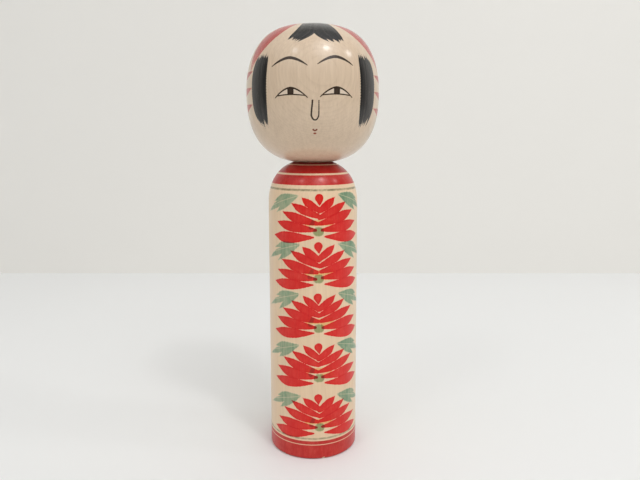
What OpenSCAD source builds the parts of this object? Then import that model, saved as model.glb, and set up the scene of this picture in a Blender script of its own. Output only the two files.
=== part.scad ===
// Kokeshi doll: a turned wooden body with a round tenon, and a turned wooden head
// that plugs on to it. The doll stands at the origin, on Z, and faces -Y.

/* [Body] */
// Height of the body from the foot to the neck seat
body_h = 167.2; // [130:0.1:220]
// Diameter of the body just above the foot edge
foot_d = 50.9; // [42:0.1:64]
// Diameter of the body where the shoulder begins
shoulder_d = 50.4; // [42:0.1:64]
// Rise of the shoulder from where it begins to the neck seat
shoulder_h = 23.9; // [16:0.1:32]
// Diameter of the flat neck seat at the top of the shoulder
neck_d = 21.8; // [19:0.1:30]
// How square the shoulder is across (2 is an ellipse)
shoulder_square_r = 2.42; // [1.8:0.01:3.5]
// How square the shoulder is in height (2 is an ellipse)
shoulder_square_z = 2.33; // [1.8:0.01:3.5]

/* [Foot] */
// Radius of the rounded edge round the foot
foot_round = 1.3; // [0.5:0.1:3]
// Width of the flat ring that the doll stands on
foot_ring_w = 5; // [3:0.1:9]
// Depth of the turned hollow inside that ring
foot_dish = 0.6; // [0.2:0.1:2]

/* [Head] */
// Diameter of the head at its widest circle
head_d = 72.8; // [56:0.1:90]
// Height of the widest circle above the neck seat
jaw_h = 37.4; // [28:0.1:46]
// Height of the crown above the widest circle
crown_h = 35.4; // [26:0.1:44]
// Diameter of the flat under the head that rests on the neck seat
head_seat_d = 20.2; // [18:0.1:28]
// How square the jaw is across
jaw_square_r = 2.69; // [1.8:0.01:3.5]
// How square the jaw is in height
jaw_square_z = 2.44; // [1.8:0.01:3.5]
// How square the crown is across
crown_square_r = 3.14; // [1.8:0.01:3.5]
// How square the crown is in height
crown_square_z = 2.11; // [1.8:0.01:3.5]

/* [Neck plug] */
// Diameter of the tenon on the body
tenon_d = 13; // [9:0.1:15]
// Length of the tenon above the neck seat
tenon_l = 20; // [12:0.1:24]
// Gap between the tenon and the bore, on the radius
plug_clearance = 0.05; // [0.02:0.01:0.1]
// Free depth of the bore past the end of the tenon
bore_relief = 2; // [0.5:0.1:4]
// Chamfer on the end of the tenon and in the mouth of the bore
plug_chamfer = 0.8; // [0.3:0.1:1.2]

/* [Hidden] */

foot_r = foot_d / 2;
shoulder_r = shoulder_d / 2;
neck_r = neck_d / 2;
head_r = head_d / 2;
head_seat_r = head_seat_d / 2;
tenon_r = tenon_d / 2;
bore_r = tenon_r + plug_clearance;
dish_r = foot_r - foot_round - foot_ring_w;

seat_z = body_h;                    // neck seat, where the two pieces meet
shoulder_z = seat_z - shoulder_h;   // where the shoulder begins
widest_z = seat_z + jaw_h;          // widest circle of the head
tenon_top_z = seat_z + tenon_l;
bore_top_z = tenon_top_z + bore_relief;

curve_steps = 48;                   // straight pieces in each curved stretch
foot_steps = 8;                     // straight pieces round the foot edge
$fn = 120;

// Full height of a curve (x/r)^square_r + (z/h)^square_z = 1 that has radius end_r
// at the height rise.
function full_rise(r, end_r, rise, square_r, square_z) =
    rise / pow(1 - pow(end_r / r, square_r), 1 / square_z);

// Angle parameter at which that curve has climbed to rise.
function end_angle(full, rise, square_z) = asin(pow(rise / full, square_z / 2));

// Points [radius, height] along that curve, from its widest circle up to angle a1.
function rounded(r, full, square_r, square_z, a1) =
    [for (i = [0 : curve_steps])
        let (a = a1 * i / curve_steps)
        [r * pow(cos(a), 2 / square_r), full * pow(sin(a), 2 / square_z)]];

// Quarter circle round the foot edge, from underneath to the side.
function foot_edge() =
    [for (i = [0 : foot_steps])
        let (a = -90 + 90 * i / foot_steps)
        [foot_r - foot_round + foot_round * cos(a), foot_round + foot_round * sin(a)]];

// The curve from the body's side to the edge of the neck seat.
function shoulder_curve() =
    let (full = full_rise(shoulder_r, neck_r, shoulder_h, shoulder_square_r, shoulder_square_z),
         a1 = end_angle(full, shoulder_h, shoulder_square_z))
    [for (p = rounded(shoulder_r, full, shoulder_square_r, shoulder_square_z, a1))
        [p[0], shoulder_z + p[1]]];

// The curve from the flat under the head up to its widest circle.
function jaw_curve() =
    let (full = full_rise(head_r, head_seat_r, jaw_h, jaw_square_r, jaw_square_z),
         a1 = end_angle(full, jaw_h, jaw_square_z),
         down = rounded(head_r, full, jaw_square_r, jaw_square_z, a1))
    [for (i = [curve_steps : -1 : 0]) [down[i][0], widest_z - down[i][1]]];

// The curve from just above the widest circle over to the pole of the head.
function crown_curve() =
    let (up = rounded(head_r, crown_h, crown_square_r, crown_square_z, 90))
    [for (i = [1 : curve_steps]) [up[i][0], widest_z + up[i][1]]];

// One billet: dished foot, straight side, rounded shoulder, neck seat and tenon.
module body() {
    color([0.80, 0.36, 0.30])
        rotate_extrude()
            polygon(concat(
                [[0, foot_dish], [dish_r, 0]],
                foot_edge(),
                shoulder_curve(),
                [[tenon_r, seat_z],
                 [tenon_r, tenon_top_z - plug_chamfer],
                 [tenon_r - plug_chamfer, tenon_top_z],
                 [0, tenon_top_z]]));
}

// One billet: turned outside, with a blind bore that takes the tenon.
module head() {
    color([0.85, 0.76, 0.64])
        rotate_extrude()
            polygon(concat(
                jaw_curve(),
                crown_curve(),
                [[0, bore_top_z],
                 [bore_r, bore_top_z],
                 [bore_r, seat_z + plug_chamfer],
                 [bore_r + plug_chamfer, seat_z]]));
}

body();
head();
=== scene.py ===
import math

import bpy
import mathutils
import numpy as np
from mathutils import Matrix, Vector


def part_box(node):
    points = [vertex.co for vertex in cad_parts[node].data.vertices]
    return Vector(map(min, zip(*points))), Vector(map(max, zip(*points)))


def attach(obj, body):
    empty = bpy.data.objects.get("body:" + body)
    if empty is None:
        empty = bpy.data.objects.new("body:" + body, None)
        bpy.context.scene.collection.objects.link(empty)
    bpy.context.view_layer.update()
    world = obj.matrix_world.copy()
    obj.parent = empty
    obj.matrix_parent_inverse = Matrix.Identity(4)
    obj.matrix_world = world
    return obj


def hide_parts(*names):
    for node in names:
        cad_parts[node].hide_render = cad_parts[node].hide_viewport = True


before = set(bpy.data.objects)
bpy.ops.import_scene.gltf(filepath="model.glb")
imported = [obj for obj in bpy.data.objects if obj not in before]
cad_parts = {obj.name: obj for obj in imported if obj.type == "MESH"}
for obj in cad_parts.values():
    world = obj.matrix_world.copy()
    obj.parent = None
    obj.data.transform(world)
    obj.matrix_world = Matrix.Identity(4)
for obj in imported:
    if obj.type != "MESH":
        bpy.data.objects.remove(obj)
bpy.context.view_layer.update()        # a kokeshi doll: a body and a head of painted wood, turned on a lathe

# --------------------------------------------------------------------------------------
# THE BODY
# One billet of pale dogwood, turned between foot and neck: a foot hollowed a little so that
# it stands on a ring, a straight side, a rounded shoulder, a flat neck seat, and a tenon
# left standing on the seat for the head. Its outline is worked out here in millimetres.
# --------------------------------------------------------------------------------------
METRE = 1000.0  # millimetres

body_high = np.array(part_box("body")[1]) * METRE
head_low, head_high = (np.array(corner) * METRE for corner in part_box("head"))
seat_z = head_low[2]          # the neck seat, where the two pieces meet
foot_r = body_high[0]
tenon_top_z = body_high[2]
foot_round = 1.3
foot_ring = 5.0
foot_dish = 0.6
shoulder_r = 25.2
shoulder_rise = 23.9
shoulder_square = (2.42, 2.33)   # how square the curve is across and up, where 2 is an ellipse
neck_r = 10.9
tenon_r = 6.5
plug_chamfer = 0.8


def rounded(radius, end_radius, rise, square_across, square_up, steps=400):
    """Points [radius, height] on (r/radius)^square_across + (z/h)^square_up = 1, from its
    widest circle up to where it has climbed to rise and narrowed to end_radius."""
    full = rise / (1 - (end_radius / radius) ** square_across) ** (1 / square_up)
    last = math.asin((rise / full) ** (square_up / 2))
    turn = np.linspace(0, last, steps)
    across = radius * np.abs(np.cos(turn)) ** (2 / square_across)
    return np.stack([across, full * np.sin(turn) ** (2 / square_up)], 1)


def stretch(points, count):
    """The same line of points, spread evenly over count points."""
    points = np.array(points, float)
    run = np.r_[0, np.cumsum(np.hypot(*np.diff(points, axis=0).T))]
    even = np.linspace(0, run[-1], count)
    return np.stack([np.interp(even, run, points[:, i]) for i in (0, 1)], 1)


quarter = np.linspace(-math.pi / 2, 0, 30)
foot_edge = np.stack([foot_r - foot_round + foot_round * np.cos(quarter),
                      foot_round + foot_round * np.sin(quarter)], 1)
shoulder = rounded(shoulder_r, neck_r, shoulder_rise, *shoulder_square)
shoulder[:, 1] += seat_z - shoulder_rise
dish_r = foot_r - foot_round - foot_ring

under = stretch([[0, foot_dish], [dish_r, 0]], 34)
gouge_depth, gouge_turns = 0.045, 2.6   # the marks that the gouge left in the hollow
under[1:-1, 1] += gouge_depth * np.cos(under[1:-1, 0] * gouge_turns) ** 8
body_outline = np.concatenate([
    under,
    stretch([[dish_r + 0.3, 0], [foot_edge[0, 0] - 0.1, 0]], 4),
    stretch(foot_edge, 7),
    stretch([[foot_r - 0.003, 1.6], [foot_r - 0.02, 11.0]], 12),
    stretch([[foot_r - 0.022, 11.5], shoulder[0] - [0, 0.5]], 264),
    stretch(shoulder, 44),
    stretch([[neck_r - 0.2, seat_z], [tenon_r + 0.1, seat_z]], 3),
    stretch([[tenon_r, seat_z], [tenon_r, tenon_top_z - plug_chamfer]], 4),
    stretch([[tenon_r - plug_chamfer, tenon_top_z], [0, tenon_top_z]], 4)])


def join(tree, kind, inputs=None, **settings):
    """Adds a node, sets it up and feeds its inputs from values or from other sockets."""
    made = tree.nodes.new(kind)
    for name, value in settings.items():
        setattr(made, name, value)
    for name, value in (inputs or {}).items():
        if isinstance(value, bpy.types.NodeSocket):
            tree.links.new(value, made.inputs[name])
        else:
            made.inputs[name].default_value = value
    return made


def maths(tree, operation, *terms, clamp=False):
    """One step of arithmetic, as a node. Returns its result."""
    feed = dict(enumerate(terms))
    return join(tree, "ShaderNodeMath", feed, operation=operation, use_clamp=clamp).outputs[0]


def new_tree(name, kind, takes, gives):
    """An empty node group with these inputs and outputs. Returns it with both end nodes."""
    tree = bpy.data.node_groups.new(name, kind)
    for label, socket, default in takes:
        made = tree.interface.new_socket(label, in_out="INPUT", socket_type="NodeSocket" + socket)
        if default is not None:
            made.default_value = default
    for label, socket in gives:
        tree.interface.new_socket(label, in_out="OUTPUT", socket_type="NodeSocket" + socket)
    return tree, join(tree, "NodeGroupInput"), join(tree, "NodeGroupOutput")


# The lathe: turns an outline round Z. The steps are finer over the front, which is painted.
lathe, given, out = new_tree("turn_on_lathe", "GeometryNodeTree", [
    ("Outline", "Object", None), ("Steps round", "Int", 200), ("Front centre", "Float", 0.0),
    ("Front half angle", "Float", 90.0), ("Front share", "Float", 0.5),
    ("Material", "Material", None)], [("Geometry", "Geometry")])
blank = join(lathe, "GeometryNodeObjectInfo", {"Object": given.outputs["Outline"]})
rows = join(lathe, "GeometryNodeAttributeDomainSize",
            {"Geometry": blank.outputs["Geometry"]}).outputs["Point Count"]
grid = join(lathe, "GeometryNodeMeshGrid", {
    "Size X": 1.0, "Size Y": 1.0, "Vertices Y": rows,
    "Vertices X": maths(lathe, "ADD", given.outputs["Steps round"], 1.0)})
index = join(lathe, "GeometryNodeInputIndex").outputs[0]
column = maths(lathe, "FLOOR", maths(lathe, "DIVIDE", maths(lathe, "ADD", index, 0.5), rows))
row = maths(lathe, "SUBTRACT", index, maths(lathe, "MULTIPLY", column, rows))
way = maths(lathe, "MULTIPLY_ADD", maths(lathe, "DIVIDE", column, given.outputs["Steps round"]),
            2.0, -1.0)
share = given.outputs["Front share"]
front = maths(lathe, "MAXIMUM", maths(lathe, "MINIMUM", way, share),
              maths(lathe, "MULTIPLY", share, -1.0))
front_half = given.outputs["Front half angle"]
fine = maths(lathe, "MULTIPLY", front, maths(lathe, "DIVIDE", front_half, share))
coarse = maths(lathe, "MULTIPLY", maths(lathe, "SUBTRACT", way, front),
               maths(lathe, "DIVIDE", maths(lathe, "SUBTRACT", 180.0, front_half),
                     maths(lathe, "SUBTRACT", 1.0, share)))
turned = maths(lathe, "RADIANS", maths(lathe, "ADD", given.outputs["Front centre"],
                                       maths(lathe, "ADD", fine, coarse)))
spot = join(lathe, "GeometryNodeSampleIndex", {
    "Geometry": blank.outputs["Geometry"], "Index": row,
    "Value": join(lathe, "GeometryNodeInputPosition").outputs[0]}, data_type="FLOAT_VECTOR")
spot = join(lathe, "ShaderNodeSeparateXYZ", {0: spot.outputs[0]})
place = join(lathe, "ShaderNodeCombineXYZ", {
    "X": maths(lathe, "MULTIPLY", spot.outputs["X"], maths(lathe, "SINE", turned)),
    "Y": maths(lathe, "MULTIPLY", spot.outputs["X"],
               maths(lathe, "MULTIPLY", maths(lathe, "COSINE", turned), -1.0)),
    "Z": spot.outputs["Z"]})
skin = join(lathe, "GeometryNodeSetPosition",
            {"Geometry": grid.outputs["Mesh"], "Position": place.outputs[0]})
skin = join(lathe, "GeometryNodeStoreNamedAttribute", {
    "Geometry": skin.outputs[0], "Name": "OFBake", "Value": grid.outputs["UV Map"]},
    data_type="FLOAT2", domain="CORNER")
skin = join(lathe, "GeometryNodeMergeByDistance",
            {"Geometry": skin.outputs[0], "Distance": 5e-7})
corner = maths(lathe, "GREATER_THAN",
               join(lathe, "GeometryNodeInputMeshEdgeAngle").outputs["Unsigned Angle"], 0.6)
skin = join(lathe, "GeometryNodeSetShadeSmooth", {"Geometry": skin.outputs[0]})
skin = join(lathe, "GeometryNodeSetShadeSmooth",
            {"Geometry": skin.outputs[0], "Selection": corner, "Shade Smooth": False},
            domain="EDGE")
skin = join(lathe, "GeometryNodeRealizeInstances", {"Geometry": skin.outputs[0]})
skin = join(lathe, "GeometryNodeSetMaterial",
            {"Geometry": skin.outputs[0], "Material": given.outputs["Material"]})
lathe.links.new(skin.outputs[0], out.inputs["Geometry"])


def turn(name, outline, material, **settings):
    """A piece turned on the lathe, as a plain mesh object at the origin."""
    blank_mesh = bpy.data.meshes.new(name + "_outline")
    blank_mesh.from_pydata([(r / METRE, 0, z / METRE) for r, z in outline], [], [])
    blank_piece = bpy.data.objects.new(name + "_outline", blank_mesh)
    rough = bpy.data.objects.new(name + "_rough", bpy.data.meshes.new(name + "_rough"))
    for each in (blank_piece, rough):
        bpy.context.scene.collection.objects.link(each)
    cut = rough.modifiers.new("lathe", "NODES")
    cut.node_group = lathe
    settings.update({"Outline": blank_piece, "Material": material})
    for item in lathe.interface.items_tree:
        if item.in_out == "INPUT" and item.name in settings:
            cut[item.identifier] = settings[item.name]
    graph = bpy.context.evaluated_depsgraph_get()
    mesh = bpy.data.meshes.new_from_object(rough.evaluated_get(graph))
    mesh.name = name
    mesh.materials.pop(index=0)  # the empty slot that the grid began with
    for each in (blank_piece, rough):
        bpy.data.objects.remove(each)
    piece = bpy.data.objects.new(name, mesh)
    bpy.context.scene.collection.objects.link(piece)
    return piece


def grown_wood(name):
    """Dogwood: growth rings round a pith beside the piece, fine upright fibres and pores."""
    tree, given, out = new_tree(name, "ShaderNodeTree", [
        ("Vector", "Vector", None), ("Ring spacing", "Float", 3.0), ("Ring strength", "Float", 0.3),
        ("Fibre strength", "Float", 0.3), ("Light wood", "Color", (0.7, 0.55, 0.4, 1)),
        ("Dark wood", "Color", (0.5, 0.35, 0.2, 1))],
        [("Color", "Color"), ("Fibre", "Float"), ("Roughness", "Float"), ("Height", "Float")])
    spot = given.outputs["Vector"]
    sway = join(tree, "ShaderNodeTexNoise", {"Vector": spot, "Scale": 22.0, "Detail": 2.0})
    swing = join(tree, "ShaderNodeVectorMath", {0: sway.outputs["Color"], 1: (0.0022, 0.0022, 0)},
                 operation="MULTIPLY")
    ring_spot = join(tree, "ShaderNodeVectorMath", {0: spot, 1: swing.outputs[0]})
    rings = join(tree, "ShaderNodeTexWave", {
        "Vector": ring_spot.outputs[0],
        "Scale": maths(tree, "DIVIDE", 314.16, given.outputs["Ring spacing"])},
        wave_type="RINGS", rings_direction="Z", wave_profile="SAW")
    late = maths(tree, "POWER", rings.outputs["Fac"], 3.0)
    toning = join(tree, "ShaderNodeTexNoise", {"Vector": spot, "Scale": 14.0, "Detail": 1.0})
    along = join(tree, "ShaderNodeMapping", {"Vector": spot, "Scale": (1.0, 1.0, 0.025)})
    fibre = join(tree, "ShaderNodeTexNoise", {
        "Vector": along.outputs[0], "Scale": 1500.0, "Detail": 3.0, "Roughness": 0.6})
    wide_along = join(tree, "ShaderNodeMapping", {"Vector": spot, "Scale": (1.0, 1.0, 0.05)})
    streak = join(tree, "ShaderNodeTexNoise", {
        "Vector": wide_along.outputs[0], "Scale": 520.0, "Detail": 2.0, "Roughness": 0.55})
    pore_spot = join(tree, "ShaderNodeMapping", {"Vector": spot, "Scale": (1.0, 1.0, 0.12)})
    pores = join(tree, "ShaderNodeTexVoronoi", {"Vector": pore_spot.outputs[0], "Scale": 1100.0})
    pore = join(tree, "ShaderNodeMapRange", {
        "Value": pores.outputs["Distance"], "From Min": 0.10, "From Max": 0.22,
        "To Min": 1.0, "To Max": 0.0}).outputs[0]
    grain = given.outputs["Fibre strength"]
    tone = maths(tree, "MULTIPLY_ADD", late, given.outputs["Ring strength"],
                 maths(tree, "MULTIPLY", pore, 0.12))
    tone = maths(tree, "MULTIPLY_ADD", maths(tree, "SUBTRACT", fibre.outputs["Fac"], 0.5),
                 grain, tone)
    tone = maths(tree, "MULTIPLY_ADD", maths(tree, "SUBTRACT", streak.outputs["Fac"], 0.5),
                 maths(tree, "MULTIPLY", grain, 0.65), tone)
    tone = maths(tree, "MULTIPLY_ADD", toning.outputs["Fac"], 0.35, tone, clamp=True)
    colour = join(tree, "ShaderNodeMix", {
        0: tone, 6: given.outputs["Light wood"], 7: given.outputs["Dark wood"]},
        data_type="RGBA")
    tree.links.new(colour.outputs[2], out.inputs["Color"])
    tree.links.new(fibre.outputs["Fac"], out.inputs["Fibre"])
    tree.links.new(maths(tree, "MULTIPLY_ADD", pore, 0.15,
                         maths(tree, "MULTIPLY_ADD", fibre.outputs["Fac"], 0.16, 0.26)),
                   out.inputs["Roughness"])
    tree.links.new(maths(tree, "MULTIPLY_ADD", late, 0.5,
                         maths(tree, "MULTIPLY_ADD", pore, -0.6, fibre.outputs["Fac"])),
                   out.inputs["Height"])
    return tree


def dye_wash(name):
    """A dye laid over what is under it: light passes through it twice, and so is coloured."""
    tree, given, out = new_tree(name, "ShaderNodeTree", [
        ("Ground", "Color", (1, 1, 1, 1)), ("Dye", "Color", (0.5, 0.5, 0.5, 1)),
        ("Load", "Float", 0.0)], [("Color", "Color")])
    load = join(tree, "ShaderNodeCombineXYZ", {i: given.outputs["Load"] for i in range(3)})
    passed = join(tree, "ShaderNodeVectorMath", {0: given.outputs["Dye"], 1: load.outputs[0]},
                  operation="POWER")
    both = join(tree, "ShaderNodeVectorMath", {0: given.outputs["Ground"], 1: passed.outputs[0]},
                operation="MULTIPLY")
    tree.links.new(both.outputs[0], out.inputs["Color"])
    return tree


def brush_edge(name):
    """How much of a brush mark lies here, from the distance to its edge: the dye creeps a
    little along the fibres, gathers at the edge, and thins where the brush ran dry."""
    tree, given, out = new_tree(name, "ShaderNodeTree", [
        ("Distance", "Float", 1.0), ("Softness", "Float", 0.15), ("Creep", "Float", 0.2),
        ("Fibre", "Float", 0.5), ("Pooling", "Float", 0.1), ("Mottle", "Float", 0.2)],
        [("Load", "Float")])
    crept = maths(tree, "MULTIPLY_ADD", maths(tree, "SUBTRACT", 0.5, given.outputs["Fibre"]),
                  given.outputs["Creep"], given.outputs["Distance"])
    soft = given.outputs["Softness"]
    mask = join(tree, "ShaderNodeMapRange", {
        "Value": crept, "From Min": maths(tree, "MULTIPLY", soft, -1.0), "From Max": soft,
        "To Min": 1.0, "To Max": 0.0}, interpolation_type="SMOOTHSTEP").outputs[0]
    rim = join(tree, "ShaderNodeMapRange", {
        "Value": crept, "From Min": -0.9, "From Max": -0.1}, interpolation_type="SMOOTHSTEP")
    strength = maths(tree, "MULTIPLY_ADD", rim.outputs[0], given.outputs["Pooling"], 1.0)
    strength = maths(tree, "MULTIPLY_ADD", maths(tree, "SUBTRACT", given.outputs["Fibre"], 0.5),
                     given.outputs["Mottle"], strength)
    tree.links.new(maths(tree, "MULTIPLY", mask, strength), out.inputs["Load"])
    return tree


def turned_ring(name):
    """A ring painted with the brush held still while the lathe turns, between two heights
    in millimetres. Its edge wavers with the fibres."""
    tree, given, out = new_tree(name, "ShaderNodeTree", [
        ("Height", "Float", 0.0), ("Low", "Float", 0.0), ("High", "Float", 1.0),
        ("Softness", "Float", 0.15), ("Load", "Float", 1.0)], [("Load", "Float")])
    soft = given.outputs["Softness"]
    sides = []
    for edge, way in (("Low", 1.0), ("High", -1.0)):
        gap = maths(tree, "SUBTRACT", given.outputs["Height"], given.outputs[edge])
        sides.append(join(tree, "ShaderNodeMapRange", {
            "Value": maths(tree, "MULTIPLY", gap, way),
            "From Min": maths(tree, "MULTIPLY", soft, -1.0), "From Max": soft},
            interpolation_type="SMOOTHSTEP").outputs[0])
    inside = maths(tree, "MULTIPLY", sides[0], sides[1])
    tree.links.new(maths(tree, "MULTIPLY", inside, given.outputs["Load"]), out.inputs["Load"])
    return tree


wood_tree = grown_wood("dogwood")
dye_tree = dye_wash("dye_wash")
edge_tree = brush_edge("brush_edge")
ring_tree = turned_ring("turned_ring")


def wash(tree, ground, dye, load):
    """The ground with this dye over it: a load of 1 is one full brush of it."""
    made = join(tree, "ShaderNodeGroup", node_tree=dye_tree)
    tree.links.new(ground, made.inputs["Ground"])
    made.inputs["Dye"].default_value = (*dye, 1)
    tree.links.new(load, made.inputs["Load"])
    return made.outputs[0]


def mark(tree, attribute, fibre, **settings):
    """The load of the brush marks whose distances are kept on the mesh under this name."""
    far = join(tree, "ShaderNodeAttribute", attribute_name=attribute)
    made = join(tree, "ShaderNodeGroup", node_tree=edge_tree)
    tree.links.new(far.outputs["Fac"], made.inputs["Distance"])
    tree.links.new(fibre, made.inputs["Fibre"])
    for name, value in settings.items():
        made.inputs[name].default_value = value
    return made.outputs[0]


def smooth(points, steps=12):
    """A smooth line through the points, as many short steps between each two."""
    p = np.array(points, float)
    p = np.vstack([2 * p[0] - p[1], p, 2 * p[-1] - p[-2]])
    t = np.linspace(0, 1, steps, endpoint=False)[:, None]
    line = [0.5 * (2 * b + (c - a) * t + (2 * a - 5 * b + 4 * c - d) * t * t
                   + (3 * b - a - 3 * c + d) * t ** 3)
            for a, b, c, d in zip(p, p[1:], p[2:], p[3:])]
    return np.concatenate(line + [p[-2][None]])


CLEAR = 3.0  # millimetres from a brush mark, past which nothing is worked out


def lay(marks, where, path, half_width):
    """Adds one brush mark to marks, which holds the distance of every place in where to the
    nearest edge: negative inside the mark. Returns the places near it and the step each is
    nearest to."""
    reach = half_width.max() + CLEAR
    near = np.flatnonzero(((where > path.min(0) - reach) & (where < path.max(0) + reach)).all(1))
    if len(near) == 0:
        return near, near
    gap = np.linalg.norm(where[near, None] - path[None], axis=2) - half_width
    step = gap.argmin(1)
    marks[near] = np.minimum(marks[near], gap[np.arange(len(near)), step])
    return near, step


def lay_patch(marks, where, corners):
    """Adds one flat patch with these corners to marks, in the same way."""
    corners = np.array(corners, float)
    off = np.full(len(where), 1e9)
    inside = np.zeros(len(where), bool)
    for a, b in zip(corners, np.roll(corners, -1, 0)):
        t = np.clip(((where - a) @ (b - a)) / ((b - a) @ (b - a)), 0, 1)
        off = np.minimum(off, np.linalg.norm(where - a - t[:, None] * (b - a), axis=1))
        crosses = (a[1] > where[:, 1]) != (b[1] > where[:, 1])
        rise = b[1] - a[1] if b[1] != a[1] else 1.0
        inside ^= crosses & (where[:, 0] < (b[0] - a[0]) * (where[:, 1] - a[1]) / rise + a[0])
    marks[:] = np.minimum(marks, np.where(inside, -off, off))


def places(piece):
    """The places of a piece's points, in millimetres."""
    spots = np.empty(len(piece.data.vertices) * 3)
    piece.data.vertices.foreach_get("co", spots)
    return spots.reshape(-1, 3) * METRE


def keep(piece, name, values):
    """Stores one number for each point of a piece, for its material to read."""
    made = piece.data.attributes.new(name, "FLOAT", "POINT")
    made.data.foreach_set("value", np.clip(values, -CLEAR, CLEAR).astype(np.float32))


body_paint = bpy.data.materials.new("waxed_painted_body")
body_paint.use_nodes = True
flower_axis = 8   # degrees: the flowers climb the body a little to the right of the face
body = turn("turned_body", body_outline, body_paint, **{
    "Steps round": 258, "Front centre": flower_axis, "Front half angle": 84.0,
    "Front share": 0.78})

# Five chrysanthemums climb the front, each a little closer to the last. One rule lays them
# all: the petals fan out in even steps, their tips on an arc and their roots stepping down
# the middle line. Sizes are in millimetres, and the hand strays a little every time.
body_spots = places(body)
body_flat = np.stack([np.arctan2(body_spots[:, 0], -body_spots[:, 1]) * shoulder_r
                      - math.radians(flower_axis) * shoulder_r, body_spots[:, 2]], 1)
flowers, petals = 5, 5               # flowers up the front, and petals to each side of one
lowest_base, first_climb, closing_up = 16, 30.5, 0.6
fan_radius, fan_drop = 29.5, 6.5     # the arc of the tips, centred this far under the base
top_lean, lean_step = 18, 15         # degrees from upright of the top petal, and to the next
root_step, root_spread = 3.5, 0.2    # from one root down to the next, and out from the middle
narrowest, widening = 2.15, 0.2      # half the width of the top petal, and added to the next
petal_bow = 0.4
bud_foot, bud_reach, bud_half_width = 17, 3.8, 2.2
stalk_out, stalk_up = 11, 22
leaf_lean, lobe_step = 101, 12       # degrees from upright of a leaf's top lobe, and to the next
lobe_reaches, lobe_half_width = (17, 25, 17), 1.6
dot_up, dot_half_width = 3, 2.3
hand = np.random.default_rng(5)


def stray(by):
    """How far the hand strays from the rule, across and up."""
    return hand.uniform(-by, by, 2)


def leaning(start, reach, lean):
    """The place this far from the start, at this many degrees from upright to the right."""
    lean = math.radians(lean)
    return start + reach * np.array([math.sin(lean), math.cos(lean)])


def petal(root, tip, half_width, bow, root_width, fullest):
    """One stroke from root to tip: the brush is pressed down, then lifted to a point. Its root
    is root_width of its widest, and fullest puts the widest further along as it grows."""
    root, tip = np.array(root), np.array(tip)
    across = np.array([0.0, -1.0])
    line = smooth([root, root + (tip - root) * 0.33 + across * bow * 0.7,
                   root + (tip - root) * 0.66 + across * bow, tip], 16)
    run = np.linspace(0, 1, len(line))
    press = np.sin(math.pi * run ** fullest)
    rising = run < 0.5 ** (1 / fullest)
    press = np.where(rising, root_width + (1 - root_width) * press ** 0.8, press ** 1.4)
    return line, half_width * press + 0.05


def lay_vein(stalk, end):
    """Keeps how far each near place is from the thin bare vein of a leaf."""
    line = smooth([stalk, (stalk + end) / 2 + (0, 0.3), end])
    near = np.flatnonzero(np.abs(body_flat - line.mean(0)).max(1) < 14)
    apart = body_flat[near, None] - line[None]
    step = np.linalg.norm(apart, axis=2).argmin(1)
    along = np.gradient(line, axis=0)[step]
    along /= np.linalg.norm(along, axis=1)[:, None]
    apart = apart[np.arange(len(near)), step]
    body_marks["vein"][near] = apart[:, 0] * along[:, 1] - apart[:, 1] * along[:, 0]


body_marks = {name: np.full(len(body_flat), CLEAR)
              for name in ("petal_a", "petal_b", "leaf_a", "leaf_b", "vein", "yellow", "green_dot",
                           "smear")}
for flower in range(flowers):
    base = np.array([0.0, lowest_base + first_climb * flower - closing_up * flower ** 2])
    for side in (-1, 1):
        for row in range(petals):
            root = base + (side * root_spread * row ** 2, root_step * (petals - 1 - row))
            root = root + stray(0.4)
            tip = leaning(base - (0, fan_drop), fan_radius, side * (top_lean + lean_step * row))
            half_width = (narrowest + widening * row) * hand.uniform(0.93, 1.07)
            tip = tip + stray(0.5)
            lay(body_marks["petal_a" if row % 2 == 0 else "petal_b"], body_flat,
                *petal(root, tip, half_width, petal_bow, 0.6 - 0.12 * row, 1.15 + 0.04 * row))
    # The bud is one short press of the brush, from a point to a round end.
    start = base + (0, bud_foot) + stray(0.4)
    line = smooth([start, leaning(start, bud_reach, hand.uniform(-8, 8))])
    lay(body_marks["petal_b"], body_flat, line, np.linspace(0.2, bud_half_width, len(line)))
    for side in (-1, 1):
        stalk = base + (side * stalk_out, stalk_up) + stray(0.5)
        ends = [leaning(stalk, reach, side * (leaf_lean + lobe_step * lobe)) + stray(0.5)
                for lobe, reach in enumerate(lobe_reaches)]
        for lobe, end in enumerate(ends):
            lay(body_marks["leaf_b" if lobe == 1 else "leaf_a"], body_flat,
                *petal(stalk, end, lobe_half_width, 0.3 * lobe - 0.9, 0.1, 1.2))
        lay_vein(stalk, (ends[0] + ends[1]) / 2)   # it runs to between the first two lobes
    # Yellow over the middle, a smudge beside it, and a green dot under it.
    for touch, half_width in (([(-6.5, 7), (6.5, 7)], 1.5), ([(2, 4), (8, 4)], 1.0)):
        line = smooth(base + touch + stray(0.5))
        lay(body_marks["yellow"], body_flat, line, np.full(len(line), half_width))
    line = smooth(base + [(-3.5, 8), (-4.5, 5)] + stray(0.5))
    lay(body_marks["smear"], body_flat, line, np.linspace(0.9, 1.4, len(line)))
    line = base + [(-0.5, dot_up), (0.5, dot_up)] + stray(0.4)
    lay(body_marks["green_dot"], body_flat, line, np.full(2, dot_half_width))

chip = np.full(len(body_flat), CLEAR)   # a small spot on the foot's edge is left bare of the red ring, and pressed in a little
lay(chip, body_flat, np.array([(2.3, 0.5), (2.9, 0.7)]), np.array([0.6, 0.5]))
body_marks["chip"] = chip
round_about = np.hypot(body_spots[:, 0], body_spots[:, 1])
body_marks["bare"] = ((body_spots[:, 2] < 0.7) & (round_about < foot_r - foot_round)
                      | (body_spots[:, 2] > seat_z - 0.05)).astype(float)
# The leaves right of the middle are laid heavier, a darker and stronger green than those on the left.
body_marks["leaf_load"] = np.where(body_flat[:, 0] > 0, 1.3, 1.0)
for name, marks in body_marks.items():
    keep(body, name, marks)
body_spots[:, :2] *= (1 - np.clip(-chip, 0, 0.3)[:, None] * 0.5 / foot_r)
body.data.vertices.foreach_set("co", (body_spots / METRE).ravel())

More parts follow.
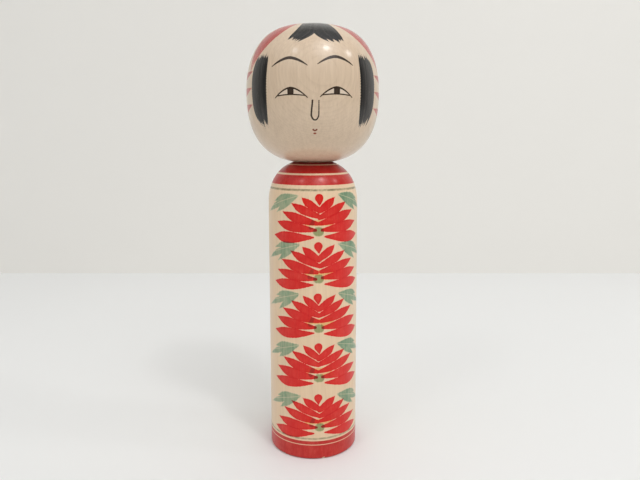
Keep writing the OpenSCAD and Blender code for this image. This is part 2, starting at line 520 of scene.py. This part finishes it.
tree = body_paint.node_tree
shader = tree.nodes["Principled BSDF"]
here = join(tree, "ShaderNodeTexCoord").outputs["Object"]
beside_pith = join(tree, "ShaderNodeMapping", {
    "Vector": here, "Location": (0.019, -0.034, 0.0), "Rotation": (0.02, 0.015, 0.0)})
wood = join(tree, "ShaderNodeGroup", node_tree=wood_tree)
tree.links.new(beside_pith.outputs[0], wood.inputs["Vector"])
for name, value in {"Ring spacing": 1.7, "Ring strength": 0.16, "Fibre strength": 0.7,
                    "Light wood": (0.90, 0.68, 0.46, 1),
                    "Dark wood": (0.72, 0.50, 0.32, 1)}.items():
    wood.inputs[name].default_value = value
fibre = wood.outputs["Fibre"]
bare = join(tree, "ShaderNodeAttribute", attribute_name="bare").outputs["Fac"]
foot_spot_load = mark(tree, "chip", fibre, Softness=0.1, Creep=0.1)
painted = maths(tree, "SUBTRACT", maths(tree, "SUBTRACT", 1.0, bare), foot_spot_load, clamp=True)
height = maths(tree, "MULTIPLY", join(tree, "ShaderNodeSeparateXYZ", {0: here}).outputs["Z"],
               METRE)
height = maths(tree, "MULTIPLY_ADD", maths(tree, "SUBTRACT", fibre, 0.5), 0.22, height)
# The rings: low edge, high edge, load, softness. They are set out from the foot and the seat. The shoulder
# rings are laid heavier the nearer they come to the head. The top one, round the neck just under the head,
# is real red paint laid far darker still, and that darkness is painted shade from the head.
red_rings = [(-1, 8.5, 1, 0.12), (9, 11, 1, 0.15), (seat_z - 11.5, seat_z - 6.5, 1.1, 0.15),
             (seat_z - 5.5, seat_z - 1.5, 1.35, 0.12), (seat_z - 1, seat_z + 1, 2.6, 0.1)]
grey_rings = [(12, 13, 1.3, 0.25), (seat_z - 14.5, seat_z - 13.5, 1.7, 0.3)]


def rings_laid(tree, height, rings):
    """The loads of these painted rings, one on another."""
    total = None
    for low, high, load, soft in rings:
        made = join(tree, "ShaderNodeGroup", node_tree=ring_tree)
        tree.links.new(height, made.inputs["Height"])
        for name, value in (("Low", low), ("High", high), ("Load", load), ("Softness", soft)):
            made.inputs[name].default_value = value
        total = made.outputs[0] if total is None else maths(tree, "ADD", total, made.outputs[0])
    return total


red_dye = (0.86, 0.035, 0.035)
ring_dye = (0.68, 0.05, 0.055)
green_dye = (0.40, 0.64, 0.60)
petal_a = mark(tree, "petal_a", fibre, Softness=0.2, Creep=0.6, Pooling=0.3)
petal_b = mark(tree, "petal_b", fibre, Softness=0.2, Creep=0.6, Pooling=0.3)
red_load = maths(tree, "MULTIPLY_ADD", maths(tree, "MINIMUM", petal_a, petal_b), 0.4,
                 maths(tree, "MAXIMUM", petal_a, petal_b))
leaf_load = maths(tree, "MAXIMUM",
                  mark(tree, "leaf_a", fibre, Softness=0.35, Creep=0.9, Mottle=0.9),
                  mark(tree, "leaf_b", fibre, Softness=0.35, Creep=0.9, Mottle=0.9))
vein = maths(tree, "ABSOLUTE", join(tree, "ShaderNodeAttribute",
                                    attribute_name="vein").outputs["Fac"])
vein = join(tree, "ShaderNodeMapRange", {"Value": vein, "From Min": 0.05, "From Max": 0.35,
                                         "To Min": 0.35}).outputs[0]
speckle = join(tree, "ShaderNodeMapping", {"Vector": here, "Scale": (1.0, 1.0, 0.35)})
speckle = join(tree, "ShaderNodeTexNoise", {"Vector": speckle.outputs[0], "Scale": 900.0,
                                            "Detail": 3.0, "Roughness": 0.7}).outputs["Fac"]
blot = join(tree, "ShaderNodeTexNoise", {"Vector": here, "Scale": 210.0, "Detail": 2.0})
patchy = maths(tree, "ADD", maths(tree, "MULTIPLY", speckle, 0.5),
               maths(tree, "MULTIPLY", blot.outputs["Fac"], 0.5))
leaf_dye = join(tree, "ShaderNodeAttribute", attribute_name="leaf_load").outputs["Fac"]
leaf_load = maths(tree, "MULTIPLY", maths(tree, "MULTIPLY", leaf_load, vein),
                  maths(tree, "MULTIPLY", leaf_dye,
                        maths(tree, "MULTIPLY_ADD", patchy, 2.0, 0.05)))
mottle = maths(tree, "MULTIPLY_ADD", patchy, 1.5, 0.3)
red_load = maths(tree, "MULTIPLY", red_load, mottle)
colour = wash(tree, wood.outputs["Color"], (0.97, 0.76, 0.44),
              mark(tree, "yellow", fibre, Softness=0.4, Creep=0.6))
colour = wash(tree, colour, red_dye, red_load)
smear = mark(tree, "smear", fibre, Softness=0.4, Creep=0.8, Mottle=1.2)
colour = wash(tree, colour, (0.62, 0.66, 0.5),
              maths(tree, "MULTIPLY", smear, maths(tree, "MINIMUM", red_load, 1.0)))
# The red rings, the top one darkened into painted shade under the head.
ring_load = maths(tree, "MULTIPLY", maths(tree, "MULTIPLY", rings_laid(tree, height, red_rings),
                                          painted), mottle)
colour = wash(tree, colour, ring_dye, ring_load)
colour = wash(tree, colour, green_dye, leaf_load)
colour = wash(tree, colour, (0.40, 0.55, 0.36),
              mark(tree, "green_dot", fibre, Softness=0.45, Creep=1.0, Mottle=0.8))
broken = join(tree, "ShaderNodeTexNoise", {"Vector": here, "Scale": 420.0, "Detail": 2.0})
broken = join(tree, "ShaderNodeMapRange", {"Value": broken.outputs["Fac"], "From Min": 0.35,
                                           "From Max": 0.65, "To Min": 0.25, "To Max": 0.85})
colour = wash(tree, colour, (0.45, 0.50, 0.44),
              maths(tree, "MULTIPLY", rings_laid(tree, height, grey_rings), broken.outputs[0]))
tree.links.new(colour, shader.inputs["Base Color"])
tree.links.new(wood.outputs["Roughness"], shader.inputs["Roughness"])
bump = join(tree, "ShaderNodeBump", {"Strength": 0.35, "Distance": 0.0001,
                                     "Height": wood.outputs["Height"]})
tree.links.new(bump.outputs[0], shader.inputs["Normal"])
shader.inputs["Specular IOR Level"].default_value = 0.15
shader.inputs["Coat Weight"].default_value = 0.45
shader.inputs["Coat Roughness"].default_value = 0.22
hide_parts("body")
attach(body, "body")


# --------------------------------------------------------------------------------------
# THE HEAD
# A second, wider piece of the same wood, bored from below and pressed on to the tenon, so
# that it sits flat on the neck and turns there, stiffly. The face and the hair are ink and
# the ribbons are red dye, all laid on with a brush, under the same thin coat of wax.
# --------------------------------------------------------------------------------------
head_r = head_high[0]
head_top_z = head_high[2]
jaw_h = 37.4
bore_relief, plug_clearance = 2.0, 0.05
bore_top_z = tenon_top_z + bore_relief
bore_r = tenon_r + plug_clearance
mouth_chamfer = 0.8
head_seat_r = 10.1
widest_z = seat_z + jaw_h
jaw_square, crown_square = (2.69, 2.44), (3.14, 2.11)

jaw = rounded(head_r, head_seat_r, jaw_h, *jaw_square, 3000)
jaw[:, 1] = widest_z - jaw[:, 1]
crown = rounded(head_r, 0.0, head_top_z - widest_z, *crown_square, 3000)
crown[:, 1] += widest_z
skin_line = np.concatenate([jaw[::-1], crown[1:]])
climb = np.r_[0, np.cumsum(np.hypot(*np.diff(skin_line, axis=0).T))]
climb -= climb[len(jaw) - 1]    # millimetres along the outline above the widest circle


def on_skin(way_up):
    """Points [radius, height] of the head's outline at these climbs."""
    return np.stack([np.interp(way_up, climb, skin_line[:, i]) for i in (0, 1)], 1)


climbs = np.concatenate([np.arange(climb[0], -24, 1.2), np.arange(-24, 18, 0.34),
                         np.arange(18, 33, 0.36), np.linspace(33, climb[-1], 34)])
head_outline = np.concatenate([
    stretch([[0, bore_top_z], [bore_r, bore_top_z]], 4),
    stretch([[bore_r, bore_top_z - 1], [bore_r, seat_z + mouth_chamfer]], 4),
    stretch([[bore_r + mouth_chamfer, seat_z], [head_seat_r - 0.2, seat_z]], 3),
    on_skin(climbs)])
head_outline[-1, 0] = 0

head_paint = bpy.data.materials.new("waxed_painted_head")
head_paint.use_nodes = True
head = turn("turned_head", head_outline, head_paint, **{
    "Steps round": 420, "Front centre": 2.5, "Front half angle": 70.0, "Front share": 0.675})
head_spots = places(head)


def on_head(path):
    """Places on the head from [degrees round to the right of the front, climb]."""
    path = np.array(path, float)
    ring = on_skin(path[:, 1])
    round_to = np.radians(path[:, 0])
    return np.stack([ring[:, 0] * np.sin(round_to), -ring[:, 0] * np.cos(round_to),
                     ring[:, 1]], 1)


head_marks = {name: np.full(len(head_spots), CLEAR)
              for name in ("ink", "lower_lid", "hair", "ribbon", "mouth", "lip", "eye_white")}
head_loads = {name: np.zeros(len(head_spots)) for name in ("hair_load", "ribbon_load")}


def line_on_face(name, points, widths):
    """One thin line of the brush: its points, and its width at each of them."""
    both = smooth(np.column_stack([points, np.array(widths) / 2]), 14)
    lay(head_marks[name], head_spots, on_head(both[:, :2]), np.maximum(both[:, 2], 0.05))


def arch_on_face(name, middle, half_span, rise, end_width, middle_width):
    """A low arch of the brush, which falls away and changes its width toward both ends."""
    run = np.linspace(-1, 1, 9)
    fall = np.abs(run) ** 1.7
    points = np.stack([middle[0] + half_span * run, middle[1] - rise * fall], 1)
    line_on_face(name, points, middle_width + (end_width - middle_width) * fall)


# The face, in degrees round from the front and millimetres of climb: one brow and one eye,
# painted to each side of a middle line that is turned a little, with the right ones higher.
face_middle, eye_out, brow_out = 1.5, 18.5, 19.5
iris_half = 2.5
head_flat = np.stack([np.arctan2(head_spots[:, 0], -head_spots[:, 1]) * head_r,
                      np.interp(head_spots[:, 2], skin_line[:, 1], climb)], 1)
for side in (-1, 1):
    eye = face_middle + side * eye_out
    lift = 0.3 * (1 + side) / 2
    arch_on_face("ink", (side * brow_out + 0.5, 15 + 2 * lift), 15.5, 4, 0.35, 1.5)
    arch_on_face("ink", (eye, 0.3 + lift), 13.5, 4.8, 0.45, 0.75)
    arch_on_face("lower_lid", (eye, lift - 3), 12, 0.6, 0.5, 0.55)
    arch_on_face("eye_white", (eye, lift - 1.6), 10, 1.2, 0.6, 3)
    left, right = np.radians([eye - iris_half, eye + iris_half]) * head_r
    lay_patch(head_marks["ink"], head_flat, [(left, -3), (right, -3), (right, 0.2), (left, 0.2)])

# The nose is one stroke: down, round and up again.
nose_middle, nose_half, nose_top, nose_round = 2.5, 3, -6, -12.5
under = np.radians(np.linspace(180, 360, 7))
nose = [(nose_middle - 2, nose_top),
        *zip(nose_middle + nose_half * np.cos(under), nose_round + nose_half * np.sin(under)),
        (nose_middle + nose_half, nose_top)]
line_on_face("ink", nose, np.linspace(0.85, 0.55, len(nose)))
arch_on_face("mouth", (nose_middle, -21), 1.5, -0.5, 0.8, 0.7)
arch_on_face("lip", (nose_middle, -22.5), 0.6, 0, 0.8, 0.9)

luck = np.random.default_rng(7)


def mirrored(middle, side, places_out):
    """Places [degrees, climb] this far out to one side of a middle line."""
    return [(middle + side * out, up) for out, up in places_out]


def lay_hairs(name, edge_a, edge_b, bristles, ragged_start, ragged_end, load, dry_end, streaks):
    """One broad stroke of a brush that has begun to split: many fine hairs side by side from
    edge_a to edge_b, each with its own length and its own load of paint."""
    edge_a, edge_b = smooth(edge_a, 8), smooth(edge_b, 8)
    steps = 40
    even = np.linspace(0, 1, steps)
    sides = [np.stack([np.interp(even, np.linspace(0, 1, len(edge)), edge[:, i])
                       for i in (0, 1)], 1) for edge in (edge_a, edge_b)]
    marks, loads = head_marks[name], head_loads[name + "_load"]
    apart = np.linalg.norm(on_head(sides[0]) - on_head(sides[1]), axis=1) / bristles
    for k in range(bristles):
        across = (k + 0.5) / bristles
        path = sides[0] * (1 - across) + sides[1] * across
        first, last = luck.uniform(-1, 1, 2)
        begin = ragged_start * first / steps
        end = 1 - ragged_end * last / steps
        spread = np.linspace(begin, end, steps)
        path = np.stack([np.interp(spread, even, path[:, i]) for i in (0, 1)], 1)
        path[spread < 0] += (path[5] - path[4]) * (spread[spread < 0] * steps)[:, None]
        path[spread > 1] += (path[-5] - path[-6]) * ((spread[spread > 1] - 1) * steps)[:, None]
        lift = np.clip(np.minimum(np.arange(steps) / 5, (steps - 1 - np.arange(steps)) / 5), 0, 1)
        own = luck.uniform(-1, 1)
        near, step = lay(marks, head_spots, on_head(path), 0.09 + apart * 0.8 * lift)
        if len(near) == 0:
            continue
        run = step / steps
        this = load * (1 + streaks * own) * (1 - dry_end * np.clip(run - 0.7, 0, 1) * 3.3
                                             * (0.6 + 0.4 * luck.uniform(-1, 1)))
        line = on_head(path)
        gap = np.linalg.norm(head_spots[near] - line[step], axis=1)
        nearest = gap < best_gap[near]
        best_gap[near[nearest]] = gap[nearest]
        loads[near[nearest]] = this[nearest]


best_gap = np.full(len(head_spots), 1e9)   # from each place to the hair that is nearest to it
# The side locks fall straight on the side of the face and bow outward behind it.
for side, ragged_end, dry_end in ((-1, 3.2, 0.15), (1, 4.2, 0.5)):
    outer = mirrored(face_middle, side, [(57, 17.5), (61, 8), (60, -8), (54, -18)])
    inner = mirrored(face_middle, side, [(42, 17.5), (41.5, 8), (41.5, -8), (43, -18)])
    lay_hairs("hair", outer, inner, 17, 2.0, ragged_end, 1.0, dry_end, 0.2)
# The forelock and the ribbons are painted a little further round than the face. The forelock
# is two broad strokes from the top of the head, one to each side of the parting.
crown_middle = 5.5
for side in (-1, 1):
    outer = [*mirrored(crown_middle, side, [(23, 49), (21, 39), (23, 32)]),
             (crown_middle - 2 + side * 28, 25)]
    inner = [(crown_middle + 3, 49), (crown_middle - 2, 39), (crown_middle - 3, 30),
             (crown_middle - 4 + side * 13, 24)]
    lay_hairs("hair", outer, inner, 13, 0.3, 2.5, 1.25, 0.0, 0.35)


def lay_ribbon(middle, half_widths):
    """A broad red stroke along a line [degrees, climb], this much to each side of it."""
    aside = np.degrees(half_widths / on_skin(middle[:, 1])[:, 0])
    aside = np.stack([aside, np.zeros(len(aside))], 1)
    lay_hairs("ribbon", middle - aside, middle + aside, 20, 0.4, 1.3, 0.97, 0.3, 0.06)


# Seven ribbons spread from the crown, three to each side and one behind. Each swells to its
# middle and closes again, and the front ones sweep back as they fall.
best_gap = np.full(len(head_spots), 1e9)
fall = np.linspace(0, 1, 9)
first_ribbon, ribbon_step = 70, 36   # degrees round from the crown's middle line to their ends
ribbon_top, ribbon_length = 47.5, 36.5
ribbon_half_width, ribbon_end = 5.5, 1
for place in range(4):
    for side in (-1, 1) if place < 3 else (1,):
        sweep = (36 - 12 * place) * (1 - fall) ** 1.5
        round_to = crown_middle + side * (first_ribbon + ribbon_step * place - sweep)
        lay_ribbon(np.stack([round_to, ribbon_top - ribbon_length * fall], 1),
                   ribbon_end + ribbon_half_width * np.sin(math.pi * fall))

# Three dabs of the same red lie behind each side lock: a point at the lock that widens.
for side in (-1, 1):
    for dab in range(3):
        start = np.array([face_middle + side * 61, 9 - side - 8.5 * dab])
        line = smooth([start, start + (side * 14, -1.5), start + (side * 31, -3)])
        width = 0.1 + 1.9 * np.sin(math.pi * np.linspace(0, 0.85, len(line)) ** 1.3)
        near, _ = lay(head_marks["ribbon"], head_spots, on_head(line), width)
        head_loads["ribbon_load"][near] = np.maximum(head_loads["ribbon_load"][near], 0.75)
for name, marks in (head_marks | head_loads).items():
    keep(head, name, marks)

tree = head_paint.node_tree
shader = tree.nodes["Principled BSDF"]
here = join(tree, "ShaderNodeTexCoord").outputs["Object"]
beside_pith = join(tree, "ShaderNodeMapping", {
    "Vector": here, "Location": (0.002, -0.034, 0.0), "Rotation": (0.16, 0.03, 0.0)})
wood = join(tree, "ShaderNodeGroup", node_tree=wood_tree)
tree.links.new(beside_pith.outputs[0], wood.inputs["Vector"])
for name, value in {"Ring spacing": 0.7, "Ring strength": 0.2, "Fibre strength": 0.9,
                    "Light wood": (0.765, 0.60, 0.44, 1),
                    "Dark wood": (0.57, 0.42, 0.29, 1)}.items():
    wood.inputs[name].default_value = value
fibre = wood.outputs["Fibre"]
hair_amount = maths(tree, "MULTIPLY",
                    mark(tree, "hair", fibre, Softness=0.1, Creep=0.08, Pooling=0.0, Mottle=0.7),
                    join(tree, "ShaderNodeAttribute", attribute_name="hair_load").outputs["Fac"])
ribbon_amount = maths(tree, "MULTIPLY",
                      mark(tree, "ribbon", fibre, Softness=0.3, Creep=0.4, Mottle=0.3),
                      join(tree, "ShaderNodeAttribute",
                           attribute_name="ribbon_load").outputs["Fac"])
colour = wash(tree, wood.outputs["Color"], (0.66, 0.11, 0.115), ribbon_amount)
white = mark(tree, "eye_white", fibre, Softness=0.3, Creep=0.1)
paler = join(tree, "ShaderNodeMix", {0: maths(tree, "MULTIPLY", white, 0.35), 6: colour,
                                     7: (0.85, 0.78, 0.68, 1)}, data_type="RGBA")
colour = wash(tree, paler.outputs[2], (0.022, 0.024, 0.03), hair_amount)
ink = maths(tree, "MAXIMUM", mark(tree, "ink", fibre, Softness=0.1, Creep=0.12),
            mark(tree, "lower_lid", fibre, Softness=0.1, Creep=0.12))
colour = wash(tree, colour, (0.06, 0.045, 0.035), ink)
colour = wash(tree, colour, (0.30, 0.09, 0.06), mark(tree, "mouth", fibre, Softness=0.15))
colour = wash(tree, colour, (0.45, 0.13, 0.10), mark(tree, "lip", fibre, Softness=0.15))
tree.links.new(colour, shader.inputs["Base Color"])
tree.links.new(wood.outputs["Roughness"], shader.inputs["Roughness"])
bump = join(tree, "ShaderNodeBump", {"Strength": 0.6, "Distance": 0.0001,
                                     "Height": wood.outputs["Height"]})
tree.links.new(bump.outputs[0], shader.inputs["Normal"])
shader.inputs["Specular IOR Level"].default_value = 0.15
shader.inputs["Coat Weight"].default_value = 0.7
shader.inputs["Coat Roughness"].default_value = 0.19
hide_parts("head")
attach(head, "head")


# --------------------------------------------------------------------------------------
# THE TABLE, THE WALL, THE LAMPS AND THE CAMERA
# A white table top that runs back to a plain pale wall, several small round ceiling lamps
# and one broad soft one in front, and a camera a little above the face, looking down.
# --------------------------------------------------------------------------------------
def plain(name, colour, roughness):
    """A smooth painted surface with a faint unevenness."""
    made = bpy.data.materials.new(name)
    made.use_nodes = True
    tree = made.node_tree
    spot = join(tree, "ShaderNodeTexCoord").outputs["Object"]
    uneven = join(tree, "ShaderNodeTexNoise", {"Vector": spot, "Scale": 3.0, "Detail": 2.0})
    tone = join(tree, "ShaderNodeMix", {
        0: uneven.outputs["Fac"], 6: (*(c * 0.985 for c in colour), 1),
        7: (*(min(1.0, c * 1.01) for c in colour), 1)}, data_type="RGBA")
    shader = tree.nodes["Principled BSDF"]
    tree.links.new(tone.outputs[2], shader.inputs["Base Color"])
    shader.inputs["Roughness"].default_value = roughness
    shader.inputs["Specular IOR Level"].default_value = 0.1
    return made


def sheet(name, corners, material):
    """A flat backdrop with these corners, in metres."""
    mesh = bpy.data.meshes.new(name)
    mesh.from_pydata(corners, [], [(0, 1, 2, 3)])
    mesh.materials.append(material)
    made = bpy.data.objects.new(name, mesh)
    bpy.context.scene.collection.objects.link(made)
    return made


wall_y = 0.44
sheet("table_top", [(-3, -3, 0), (3, -3, 0), (3, wall_y, 0), (-3, wall_y, 0)],
      plain("white_table", (0.81, 0.815, 0.81), 0.6))
sheet("wall", [(-3, wall_y, 0), (3, wall_y, 0), (3, wall_y, 2.5), (-3, wall_y, 2.5)],
      plain("pale_wall", (0.93, 0.915, 0.875), 0.8))

aim = np.array([0.0, 0.0, 0.16])
lamp_reach = 1.6
# Each lamp: degrees round to the right of the front, degrees up, width, and power in watts.
for name, to_right, up, size, power in (
        ("lamp_front_right", 35, 55, 0.2, 3.0),
        ("lamp_right", 80, 40, 0.2, 1.8),
        ("lamp_left", -40, 50, 0.2, 1.2),
        ("lamp_back_right", 115, 40, 0.14, 1.0),
        ("broad_front", 30, 55, 1.0, 5.2)):
    light = bpy.data.lights.new(name, "AREA")
    light.shape = "DISK"
    light.size = size
    light.energy = power
    lamp = bpy.data.objects.new(name, light)
    to_right, up = math.radians(to_right), math.radians(up)
    way = np.array([math.sin(to_right) * math.cos(up), -math.cos(to_right) * math.cos(up),
                    math.sin(up)])
    lamp.location = aim + way * lamp_reach
    lamp.rotation_euler = tuple(
        mathutils.Vector(way).to_track_quat("Z", "Y").to_euler())
    bpy.context.scene.collection.objects.link(lamp)

light = bpy.data.lights.new("broad_top", "SUN")   # the bright ceiling, soft and even
light.energy = 1.46
light.angle = math.radians(100)
lamp = bpy.data.objects.new("broad_top", light)
lamp.rotation_euler = (math.radians(16), math.radians(-4), 0)
bpy.context.scene.collection.objects.link(lamp)

world = bpy.data.worlds.new("room")
world.use_nodes = True
room = world.node_tree
air = room.nodes["Background"]
air.inputs["Color"].default_value = (1.0, 0.985, 0.96, 1)
seen = join(room, "ShaderNodeLightPath").outputs["Is Camera Ray"]
room.links.new(maths(room, "MULTIPLY_ADD", seen, 0.6, 0.17), air.inputs["Strength"])
bpy.context.scene.world = world
bpy.context.scene.view_settings.view_transform = "Standard"

lens = bpy.data.cameras.new("camera")
lens.lens = 33.2
lens.sensor_width = 36.0
camera = bpy.data.objects.new("camera", lens)
camera.location = (0.004, -0.335, 0.181)
camera.rotation_euler = (math.radians(80.07), 0, 0)
bpy.context.scene.collection.objects.link(camera)
bpy.context.scene.camera = camera
